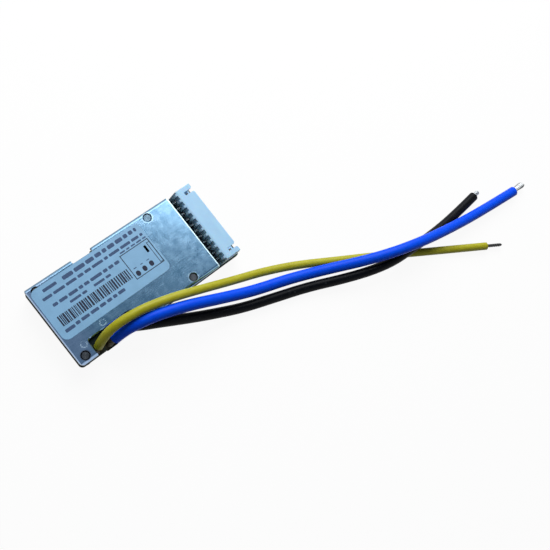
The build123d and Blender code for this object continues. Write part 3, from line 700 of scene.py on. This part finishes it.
def milky_nylon(settings):
    """Moulded nylon: faint flow marks, an eggshell surface, a soft glow, and painted shade in the
    comb slots and along the back.
    """
    glow = {"Subsurface_Weight": 0.12, "Subsurface_Scale": 0.6 * MM}
    finish = Finish("milky_nylon", Specular_IOR_Level=0.4, **glow)
    flow = finish.noise(3.0 * MM, stretch=(1.0, 0.4, 1.0), warp=0.8).ramp(0.3, 0.7)
    grain = finish.noise(0.12 * MM, detail=1.0)
    deep = finish.fade("Z", HEADER_HIGH[2] - 0.1 * MM, HEADER_HIGH[2] - 1.2 * MM)
    # comb: painted shade, greyer slots in the comb below the roof
    comb = finish.fade("X", COMB_X + 0.3 * MM, COMB_X) * deep
    # Painted shade: the header darker towards its back face.
    back_shade = finish.fade("X", COMB_X - 0.4 * MM, HEADER_LOW[0] + 0.8 * MM)
    white = finish.layers(
        settings.nylon_dull, (flow, settings.nylon),
        (comb * 0.22, finish.mix(grain, srgb(66, 78, 82), srgb(104, 116, 120))),
        (back_shade * 0.6, finish.mix(grain, srgb(34, 46, 50), srgb(52, 66, 70))),
    )
    relief = finish.bump(grain, 0.008 * MM, 0.4)
    return finish.feed(white, 0.42 + flow * 0.1, relief)


def tinned_metal(name, base, roughness):
    """Tinned or soldered metal: a fine frosting in the colour, gloss and relief."""
    finish = Finish(name, Metallic=1.0)
    frost = finish.noise(0.3 * MM, detail=3.0).ramp(0.3, 0.75)
    cloud = finish.noise(1.1 * MM, detail=1.0)
    shade = finish.patches(frost, base, 0.74)
    relief = finish.bump(cloud * 0.7 + frost * 0.3, 0.03 * MM, 0.5)
    return finish.feed(shade, roughness + frost * 0.14, relief)


def stranded_core(name, base, metallic):
    """Twisted or tinned strands: their own colour on the ridges, painted shade in the grooves and
    on shaded sides.
    """
    finish = Finish(name)
    painted_shade = finish.node("ShaderNodeAttribute", {"attribute_name": "painted_shade"}, {}, "Fac")
    frost = finish.noise(0.25 * MM, detail=3.0).ramp(0.3, 0.75)
    shade = finish.patches(frost * 0.5, base, 0.6)
    shade = finish.mix(painted_shade.ramp(0.3, 0.9), shade, times(base, 0.16))
    relief = finish.bump(frost, 0.02 * MM, 0.4)
    return finish.feed(shade, 0.3 + frost * 0.12, relief, Metallic=metallic - painted_shade * 0.2)


def flux_and_shade_solder():
    """Hand-soldered joints: dull solder under patches of brown flux, both painted dark as shade."""
    finish = Finish("flux_and_shade_solder")
    flux = finish.noise(0.9 * MM, detail=3.0, warp=0.5).ramp(0.34, 0.52)
    frost = finish.noise(0.25 * MM)
    # Brown flux patches are real; the darkness of both colours is painted shade.
    brown = finish.mix(frost, srgb(50, 40, 14), srgb(22, 17, 6))
    grey = finish.mix(frost, srgb(84, 78, 54), srgb(48, 42, 26))
    shade = finish.mix(flux, grey, brown)
    relief = finish.bump(frost * 0.6 + flux * 0.4, 0.05 * MM, 0.6)
    return finish.feed(shade, 0.42 - flux * 0.08, relief, Metallic=(1 - flux) * 0.8)


def turned_steel(settings):
    """Plated screws: turning rings and grime on the flat ends, with a painted reflection lightening
    one end.
    """
    finish = Finish("turned_steel", Metallic=1.0)
    x, y, z = (finish.axis(letter) for letter in "XYZ")
    r = ring_distance(finish, [(sx, sy) for sx in SCREW_XS for sy in SCREW_YS])
    ring = abs((r / (0.16 * MM)).maths("FRACT") - 0.5) * 2
    grime = finish.noise(0.8 * MM, detail=3.0).ramp(0.35, 0.75)
    # Painted reflection: the end of the back right screw is lighter.
    painted_reflection = (x > 0.0) * (y > 0.0) * (z > PLATE_LOW[2])
    base = finish.layers(
        finish.patches(grime, settings.steel, 0.4), (ring * 0.12, srgb(190, 196, 202)),
        (painted_reflection * 0.8, finish.mix(ring, srgb(88, 114, 132), srgb(114, 140, 158))),
    )
    relief = finish.bump(ring, 0.02 * MM, 0.4)
    return finish.feed(base, 0.3 + grime * 0.22, relief)


def moulding_compound(name, base):
    """Dark moulded epoxy with a fine blasted skin."""
    finish = Finish(name, Specular_IOR_Level=0.4)
    grain = finish.noise(0.1 * MM)
    shade = finish.patches(finish.noise(1.8 * MM, detail=1.0).ramp(0.3, 0.7), base, 1.5, 0.002)
    relief = finish.bump(grain, 0.01 * MM, 0.6)
    return finish.feed(shade, 0.5 + grain * 0.2, relief)


def capped_part(name, base, tin, middles, half_body):
    """A two-ended part: its body's colour between tinned caps, told apart by distance along X.

    half_body is half the length between the caps, and middles are the parts' middles along X.
    """
    finish = Finish(name)
    x = finish.axis("X")
    gap = reduce(Wire.least, [abs(x - middle) for middle in middles])
    cap = gap.ramp(half_body - 0.02 * MM, half_body + 0.02 * MM)
    grain = finish.noise(0.15 * MM)
    patch = grain.ramp(0.3, 0.7)
    body, metal = finish.patches(patch, base, 1.35, 0.002), finish.patches(patch, tin, 0.8)
    relief = finish.bump(grain, 0.012 * MM, 0.5)
    rough = 0.42 - cap * 0.1 + grain * 0.1
    return finish.feed(finish.mix(cap, body, metal), rough, relief, Metallic=cap)


def soft_sheet(settings):
    """The grey thermal sheet, with its filler showing as specks."""
    finish = Finish("soft_sheet")
    speck = finish.cells(0.3 * MM).ramp(0.1, 0.5)
    shade = finish.mix(speck, times(settings.pad, 1.3), settings.pad)
    relief = finish.bump(speck, 0.02 * MM, 0.5)
    return finish.feed(shade, 0.75 + speck * 0.1, relief)


def jacket_rubber(name, base, lift, gloss, scuff, sheen):
    """A soft extruded jacket with a lighter bloom, fine grain and pale scuffs."""
    finish = Finish(name, Specular_IOR_Level=sheen)
    bloom = finish.noise(2.2 * MM, detail=3.0).ramp(0.35, 0.75)
    grain = finish.noise(0.22 * MM)
    mark = finish.noise(0.5 * MM, detail=3.0).ramp(0.62, 0.74) * scuff
    shade = finish.layers(base, (bloom, lift), (mark, srgb(150, 156, 164)))
    relief = finish.bump(bloom, 0.05 * MM, 0.35, finish.bump(grain, 0.012 * MM, 0.5))
    return finish.feed(shade, gloss + bloom * 0.08 + mark * 0.2, relief)


# ---- operators


def dress(material, *nodes):
    """Gives CAD nodes a material."""
    for node in nodes:
        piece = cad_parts[node]
        piece.data.materials.clear()
        piece.data.materials.append(material)


class BATTERYBOARD_OT_plate(bpy.types.Operator):
    """Finish the aluminium plate"""

    bl_idname = "battery_board.plate"
    bl_label = "Aluminium Plate"

    def execute(self, context):
        """Gives the plate its satin finish, with two faint rings and a painted highlight along the
        short end.
        """
        dress(satin_aluminium(context.scene.battery_board_plate), "heatsink_plate")
        return {"FINISHED"}


class BATTERYBOARD_OT_label(bpy.types.Operator):
    """Finish the label and lay its print on it as plain shapes"""

    bl_idname = "battery_board.label"
    bl_label = "Label and Print"

    def execute(self, context):
        """Gives the label its film and prints bars, strips, dots and a frame, with no lettering."""
        settings = context.scene.battery_board_label
        dress(label_film(settings), "product_label")
        prints = {
            "label_print": (label_print(), settings.ink),
            "label_strips": (label_strips(), settings.grey_ink),
        }
        for name, (bars, ink) in prints.items():
            solid = ink_blocks(bars, LABEL_TOP, settings.ink_height)
            put_piece(name, solid, printing_ink(f"{name}_ink", ink), smooth=False)
        return {"FINISHED"}


def bar_field(x0, x1, y0, y1, drop, seed):
    """A field of upright bars from x0 to x1 whose widths and gaps vary, in millimetres."""
    chance = np.random.default_rng(seed)
    widths = chance.choice([0.22, 0.34, 0.5, 0.66], 120)
    gaps = chance.choice([0.2, 0.3, 0.42], 120)
    starts = x0 + np.concatenate([[0.0], np.cumsum(widths + gaps)[:-1]])
    kept = starts + widths < x1
    half_l = widths[kept] / 2
    middle = starts[kept] + half_l
    y = (y0 + y1) / 2 - drop * (x1 - middle) / (x1 - x0)
    half_w, corner = np.full_like(y, (y1 - y0) / 2), np.full_like(y, 0.02)
    return np.stack([middle, y, half_l, half_w, corner], -1)


def strip_row(x0, x1, y0, y1, drop, seed, least=1.4, most=4.6, gap=0.6):
    """A printed line as plain rounded strips, each about as long as a word, in millimetres.

    The row falls by drop towards its left end. A strip is least to most long.
    """
    chance = np.random.default_rng(seed)
    count = int((x1 - x0) / least) + 2
    lengths = chance.uniform(least, most, count)
    ends = x0 + np.cumsum(lengths + gap) - gap
    starts, ends = ends - lengths, np.minimum(ends, x1)
    kept = ends - starts > 0.5 * least
    x, half_l = ((ends + starts) / 2)[kept], ((ends - starts) / 2)[kept]
    y = (y0 + y1) / 2 - drop * (x1 - x) / (x1 - x0)
    half_w = np.full_like(x, (y1 - y0) / 2)
    return np.stack([x, y, half_l, half_w, half_w * 0.6], -1)


# The arguments of strip_row for each of the label's printed lines
STRIP_ROWS = (
    (-29.3, -22.9, 11.2, 12.3, 0.0, 3, 5.0, 6.4),
    (-21.9, 7.8, 11.3, 12.7, 0.35, 5),
    (-31.0, 8.6, 8.9, 9.9, 0.15, 7),
    (-1.8, 8.9, 7.65, 8.15, 0.0, 9, 0.9, 2.2),
    (-29.5, -3.6, 5.45, 6.55, 0.0, 11),
    (-24.5, -18.0, 3.45, 4.3, 0.0, 13),
    (-15.2, -7.5, 3.45, 4.3, 0.0, 17),
    (-31.3, -27.6, -3.5, -2.35, 0.5, 23, 3.4, 3.7),
    (-27.2, -6.5, -3.4, -2.3, 0.15, 29),
    (-1.3, 6.0, 0.75, 1.05, -0.1, 31, 0.9, 1.2, 1.6),
    (6.1, 6.9, 2.9, 5.6, 0.0, 37, 0.7, 0.8),
)


def frame_bars(x0, x1, y0, y1, line):
    """Four bars round a rectangle."""
    mx, my, w = (x0 + x1) / 2, (y0 + y1) / 2, line / 2
    level = [(mx, y, (x1 - x0) / 2 + w, w, w / 2) for y in (y0, y1)]
    upright = [(x, my, w, (y1 - y0) / 2 + w, w / 2) for x in (x0, x1)]
    return np.array(level + upright)


# The middles of the three dots in the wiring sketch, in millimetres, and their shape
DOTS = ((-0.85, -1.1), (1.95, -0.95), (4.85, -0.8))
DOT_SHAPE = (0.78, 1.0, 0.76)


def label_print():
    """The label's dark shapes, as rows for ink_blocks, in metres.

    A field of bars, and a frame with three dots and a narrow box where the wiring sketch is.
    Places are in millimetres of the frame.
    """
    return np.concatenate([
        bar_field(-30.8, -3.0, -1.35, 2.45, 0.15, 19),
        frame_bars(-2.45, 8.85, -2.55, 7.1, 0.28),
        frame_bars(7.75, 8.85, -2.2, 5.9, 0.22),
        [(*middle, *DOT_SHAPE) for middle in DOTS],
    ]) * MM


def label_strips():
    """The label's grey strips, which stand for its printed lines, as rows for ink_blocks."""
    return np.concatenate([strip_row(*row) for row in STRIP_ROWS]) * MM


class BATTERYBOARD_OT_board(bpy.types.Operator):
    """Finish the circuit board and add its tinned pads and printed outlines"""

    bl_idname = "battery_board.board"
    bl_label = "Circuit Board"

    def execute(self, context):
        """Gives the board its mask, and lays pads and part outlines on both faces."""
        settings = context.scene.battery_board_board
        dress(solder_mask(settings), "circuit_board")
        tin = tinned_metal("pad_tin", context.scene.battery_board_small.solder, 0.26)
        top, under = BOARD_HIGH[2], BOARD_LOW[2]
        h = settings.pad_height
        rings = flat_rings([(PIN_X, y) for y in PIN_YS], 0.5 * MM, 0.9 * MM, top, top + h)
        pads = several([rings, ink_blocks(under_pads(), under - h, h)])
        outlines = ink_blocks(under_outlines(), under - 0.5 * h, 0.5 * h)
        for name, solid, finish, slot in (
            ("tinned_pads", pads, tin, "solder"),
            ("lead_pads", ink_blocks(lead_pads(), top, h), flux_and_shade_solder(), "solder"),
            ("part_outlines", outlines, board_legend(settings), "board_green"),
        ):
            put_piece(name, solid, finish, smooth=False)
        return {"FINISHED"}


def lead_pads():
    """A pad round the middle of each lead's joint, as rows for ink_blocks."""
    rows = []
    for name, lead in LEADS.items():
        low, high = corners(f"{name}_lead_joint")
        x, y = low[0] + lead.mound_r, (low[1] + high[1]) / 2
        rows.append((x, y, 2.3 * MM, 1.9 * MM, 0.4 * MM))
    return rows


def middle_and_half(node):
    """A row of like parts along Y: the middle of the row along X and half its width."""
    low, high = corners(node)
    return (low[0] + high[0]) / 2, (high[0] - low[0]) / 2


# How wide each kind of part's pads are, and how far its printed outline reaches beyond its
# ends and from its middle, in millimetres
PAD_WIDTHS = {"balance_resistors": 1.7, "filter_capacitors": 1.3, "filter_resistors": 0.9}
TRANSISTOR_PADS = ((-0.95, -0.95), (0.95, -0.95), (0.0, 0.95))
OUTLINES = {
    "balance_resistors": (0.5, 1.02),
    "balance_transistors": (0.3, 1.12),
    "filter_capacitors": (0.5, 0.9),
}


def under_pads():
    """Pads beyond the ends of each small part under the board, as rows for ink_blocks."""
    rows = []
    for node, width in PAD_WIDTHS.items():
        x, half = middle_and_half(node)
        for side in (-1, 1):
            end = x + side * (half + 0.05 * MM)
            rows += [(end, y, 0.32 * MM, width / 2 * MM, 0.06 * MM) for y in CELL_YS]
    x, _ = middle_and_half("balance_transistors")
    shape = (0.3 * MM, 0.3 * MM, 0.05 * MM)
    for dx, dy in TRANSISTOR_PADS:
        rows += [(x + dx * MM, y + dy * MM, *shape) for y in CELL_YS]
    return rows


def under_outlines():
    """Printed outlines round each part under the board, as rows for ink_blocks."""
    rows = []
    line = 0.13 * MM
    for node, (margin, half_w) in OUTLINES.items():
        x, half = middle_and_half(node)
        reach, across = half + margin * MM, half_w * MM
        rows += [frame_bars(x - reach, x + reach, y - across, y + across, line) for y in CELL_YS]
    low, high = corners("protection_chip")
    gap = 0.35 * MM
    rows.append(frame_bars(low[0] - gap, high[0] + gap, low[1] + gap, high[1] - gap, line))
    return np.concatenate(rows)


class BATTERYBOARD_OT_header(bpy.types.Operator):
    """Finish the balance header, its pins and their solder"""

    bl_idname = "battery_board.header"
    bl_label = "Balance Header"

    def execute(self, context):
        """Gives the moulding, the pins and the solder cones their finishes."""
        settings = context.scene.battery_board_header
        small = context.scene.battery_board_small
        dress(milky_nylon(settings), "header_housing")
        dress(tinned_metal("pin_tin", settings.tin, 0.22), "header_pins")
        dress(tinned_metal("pin_solder", small.solder, 0.24), "header_pin_solder")
        return {"FINISHED"}


class BATTERYBOARD_OT_screws(bpy.types.Operator):
    """Finish the four cover screws"""

    bl_idname = "battery_board.screws"
    bl_label = "Cover Screws"

    def execute(self, context):
        """Gives the screws their turned ends and plated shanks."""
        dress(turned_steel(context.scene.battery_board_small), "cover_screws")
        return {"FINISHED"}


class BATTERYBOARD_OT_small_parts(bpy.types.Operator):
    """Finish the power transistors, shunts, chip and balancing parts"""

    bl_idname = "battery_board.small_parts"
    bl_label = "Small Parts"

    def execute(self, context):
        """Gives each kind of small part its moulding, ceramic, film or tinned metal."""
        small = context.scene.battery_board_small
        tin = context.scene.battery_board_header.tin
        moulding = moulding_compound("transistor_moulding", small.moulding)
        dress(moulding, "mosfet_bodies", "balance_transistors")
        dress(moulding_compound("chip_moulding", times(small.moulding, 0.7)), "protection_chip")
        legs = "mosfet_legs", "protection_chip_legs", "balance_transistor_legs"
        dress(tinned_metal("leg_tin", tin, 0.28), *legs)
        dress(soft_sheet(small), "thermal_pad")
        dress(capped_part("shunt_film", small.resistor, tin, SHUNT_XS, 2.6 * MM), "shunt_resistors")
        for node in PAD_WIDTHS:
            base = small.capacitor if node == "filter_capacitors" else small.resistor
            x, half = middle_and_half(node)
            dress(capped_part(f"{node}_body", base, tin, [x], half - 0.35 * MM), node)
        return {"FINISHED"}


def lead_curve(name, route, diameter, material, rings):
    """A jacket on one smooth spline, with the route's points as its control points."""
    curve = bpy.data.curves.new(name, "CURVE")
    curve.dimensions = "3D"
    curve.bevel_depth = diameter / 2
    curve.bevel_resolution = rings // 4 - 1
    curve.resolution_u = 16
    curve.use_fill_caps = True
    spline = curve.splines.new("NURBS")
    spline.points.add(len(route) - 1)
    spline.points.foreach_set("co", np.column_stack([route, np.ones(len(route))]).ravel())
    spline.order_u = 3
    spline.use_endpoint_u = True
    return link_piece(name, curve, material)


# The twisted bared ends' length, radius and turns
TWISTED_ENDS = {"yellow": (7.7 * MM, 0.68 * MM, 1.4), "black": (3.3 * MM, 0.95 * MM, 0.3)}


def bared_end(name, route):
    """A lead's bared end: flared and a little to the left on the thick one, else twisted."""
    heading = route[-1] - route[-2]
    if name in TWISTED_ENDS:
        length, radius, turns = TWISTED_ENDS[name]
        return twisted_bundle(route[-1], heading, length, radius, 5, turns)
    _, level, _ = axes_along(heading)
    start = route[-1] + 0.3 * MM * level
    heading = heading + 0.04 * np.linalg.norm(heading) * level
    return flared_core(start, heading, 6.3 * MM, 0.98 * MM, 1.45 * MM, math.radians(19.0))


class BATTERYBOARD_OT_leads(bpy.types.Operator):
    """Lay the three leads and their bared ends"""

    bl_idname = "battery_board.leads"
    bl_label = "Leads"

    def execute(self, context):
        """Makes each jacket as a cord on its route, with its bared end in line with it.

        A jacket has its colour, the lighter colour of its bloom, and how rough, scuffed and
        shiny it is. A core has its colour and how metallic it is.
        """
        settings = context.scene.battery_board_leads
        jackets = {
            "yellow": (settings.yellow, srgb(184, 182, 44), 0.42, 0.03, 0.3),
            "blue": (settings.blue, srgb(2, 88, 250), 0.38, 0.02, 0.12),
            "black": (settings.black, srgb(8, 11, 18), 0.38, 0.1, 0.08),
        }
        cores = {
            "yellow": (settings.bare, 0.85),
            "blue": (settings.bright, 0.35),
            "black": (settings.tinned, 0.85),
        }
        for name, lead in LEADS.items():
            route = lead.route()
            rubber = jacket_rubber(f"{name}_jacket", *jackets[name])
            core = stranded_core(f"{name}_core", *cores[name])
            jacket = lead_curve(
                f"{name}_jacket", route, lead.diameter, rubber, settings.rings
            )
            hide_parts(f"{name}_lead")
            rings, painted_shade = bared_end(name, route)
            solid = closed_tube(rings)
            tip = put_piece(f"{name}_strands", solid, core, painted_shade=painted_shade)
            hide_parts(f"{name}_lead_tip")
        return {"FINISHED"}


class BATTERYBOARD_OT_lead_joints(bpy.types.Operator):
    """Make the solder joints that hold the leads to the board"""

    bl_idname = "battery_board.lead_joints"
    bl_label = "Lead Joints"

    def execute(self, context):
        """Draws a fillet of solder up each lead's bared start, in place of the CAD mound."""
        solder = flux_and_shade_solder()
        for name, lead in LEADS.items():
            route = lead.route()
            bared = axes_along(route[1] - route[0])[0] * lead.stub
            x, y, _ = route[0] - bared
            radius, turn = lead.mound_r * 0.94, lead.mound_r * 4000
            mound = solder_mound(x, y, BOARD_HIGH[2], radius, lead.mound_h, turn)
            bundle, _ = twisted_bundle(
                route[0] - 0.95 * bared, bared, 0.95 * lead.stub, lead.core_r * 0.98,
                lead.strands, 0.2, taper=0.999,
            )
            solid = several([closed_tube(mound), closed_tube(bundle)])
            joint = put_piece(f"{name}_solder_joint", solid, solder)
            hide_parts(f"{name}_lead_joint")
        return {"FINISHED"}


# The camera that took the picture, worked out from the board's corners
CAMERA_PLACE = (-57.458 * MM, -36.650 * MM, 239.465 * MM)
CAMERA_TURN = (15.51604, -16.50190, -40.08224)
SENSOR = 36.0
FOCAL_PIXELS = 700.0
PICTURE_PIXELS = 550.0

# The lamp, and half the floor's width, in metres
LAMP_PLACE = (0.239, 0.285, 0.344)
LAMP_TARGET = (0.0, 0.0, 0.009)
LAMP_SIZE = 0.43
FLOOR_HALF = 2.5


class BATTERYBOARD_OT_stage(bpy.types.Operator):
    """Set up the floor, the soft lamp, the world and the camera"""

    bl_idname = "battery_board.stage"
    bl_label = "Studio"

    def execute(self, context):
        """Makes a pale floor, an even world, a large soft lamp and the photograph's camera."""
        settings = context.scene.battery_board_stage
        scene = context.scene
        scene.view_settings.view_transform = "Standard"
        make_floor(settings)
        make_world(settings)
        make_lamp(settings.main_lamp)
        camera_data = bpy.data.cameras.new("camera")
        camera_data.sensor_width = SENSOR
        camera_data.lens = FOCAL_PIXELS * SENSOR / PICTURE_PIXELS
        camera_data.clip_start = 0.01
        camera_data.clip_end = 10.0
        camera = put_in_scene("camera", camera_data)
        camera.location = CAMERA_PLACE
        camera.rotation_euler = Euler([math.radians(v) for v in CAMERA_TURN], "XYZ")
        scene.camera = camera
        return {"FINISHED"}


def make_floor(settings):
    """A wide level sheet, white to the camera but for a share of its own shading."""
    finish = Finish("pale_floor", Roughness=0.9, Specular_IOR_Level=0.1)
    shown = finish.path("Camera", "Glossy", "Transmission")
    finish.feed(finish.mix(shown, settings.bounce, settings.floor))
    glow = finish.node("ShaderNodeEmission", {}, {"Color": (1.0, 1.0, 1.0, 1.0)})
    lit = Wire(finish, finish.shader.outputs[0])
    shading = {0: shown * (1.0 - settings.shadow), 1: lit, 2: glow}
    finish.end("Material Output", finish.node("ShaderNodeMixShader", {}, shading))
    middle = np.mean(CAD_BOX, axis=0)
    ends = (-FLOOR_HALF, FLOOR_HALF)
    points = [(middle[0] + x, middle[1] + y, 0.0) for y in ends for x in ends]
    mesh = bpy.data.meshes.new("floor")
    mesh.from_pydata(points, [], [(0, 1, 3, 2)])
    mesh.materials.append(finish.material)
    put_in_scene("floor", mesh)


def make_world(settings):
    """Even light all round, and a white surround for the camera, gloss and glass.

    In metal the surround stays white up to 30 degrees above the floor's edge, and fades from
    there to the ceiling's own dim grey overhead.
    """
    world = bpy.data.worlds.new("studio")
    world.use_nodes = True
    sky = Nodes(world.node_tree)
    pale = {"Color": (0.93, 0.96, 1.0, 1.0), "Strength": settings.world}
    even = sky.node("ShaderNodeBackground", {}, pale)
    direction = sky.node("ShaderNodeTexCoord", {}, {}, "Generated")
    overhead = sky.node("ShaderNodeSeparateXYZ", {}, {0: direction}, "Z").ramp(0.5, 0.86)
    seen = sky.mix((1 - sky.path("Camera")) * overhead, (1.0, 1.0, 1.0), settings.ceiling)
    surround = sky.node("ShaderNodeBackground", {}, {"Color": seen, "Strength": 1.0})
    shown = sky.path("Camera", "Glossy", "Transmission")
    sky.end("World Output", sky.node("ShaderNodeMixShader", {}, {0: shown, 1: even, 2: surround}))
    bpy.context.scene.world = world


def make_lamp(power):
    """A large, square, soft lamp that faces the board."""
    data = bpy.data.lights.new("main_lamp", "AREA")
    data.shape = "SQUARE"
    data.size = LAMP_SIZE
    data.energy = power
    lamp = put_in_scene("main_lamp", data)
    lamp.location = LAMP_PLACE
    facing = Vector(LAMP_TARGET) - Vector(LAMP_PLACE)
    lamp.rotation_euler = facing.to_track_quat("-Z", "Y").to_euler()


OPERATORS = (
    BATTERYBOARD_OT_stage,
    BATTERYBOARD_OT_leads,
    BATTERYBOARD_OT_lead_joints,
    BATTERYBOARD_OT_plate,
    BATTERYBOARD_OT_label,
    BATTERYBOARD_OT_board,
    BATTERYBOARD_OT_header,
    BATTERYBOARD_OT_screws,
    BATTERYBOARD_OT_small_parts,
)


class BATTERYBOARD_PT_panel(bpy.types.Panel):
    """The board's settings and its pieces, in the sidebar"""

    bl_idname = "BATTERYBOARD_PT_panel"
    bl_label = "Battery Board"
    bl_space_type = "VIEW_3D"
    bl_region_type = "UI"
    bl_category = "Battery Board"

    def draw(self, context):
        """Lists every group of settings, then one button for each operator."""
        layout = self.layout
        for name, group in SETTINGS.items():
            box = layout.box()
            box.label(text=group.__doc__)
            for key in group.__annotations__:
                box.prop(getattr(context.scene, name), key)
        for operator in OPERATORS:
            layout.operator(operator.bl_idname)


CLASSES = (*SETTINGS.values(), *OPERATORS, BATTERYBOARD_PT_panel)


def register():
    """Registers the settings, the operators and the panel."""
    for made in CLASSES:
        bpy.utils.register_class(made)
    for name, group in SETTINGS.items():
        setattr(bpy.types.Scene, name, bpy.props.PointerProperty(type=group))


def unregister():
    """Removes what register put in."""
    for name in SETTINGS:
        delattr(bpy.types.Scene, name)
    for made in reversed(CLASSES):
        bpy.utils.unregister_class(made)


def main():
    """Builds the whole scene."""
    register()
    bpy.ops.battery_board.stage()
    bpy.ops.battery_board.leads()
    bpy.ops.battery_board.lead_joints()
    bpy.ops.battery_board.plate()
    bpy.ops.battery_board.label()
    bpy.ops.battery_board.board()
    bpy.ops.battery_board.header()
    bpy.ops.battery_board.screws()
    bpy.ops.battery_board.small_parts()


if __name__ == "__main__":
    main()
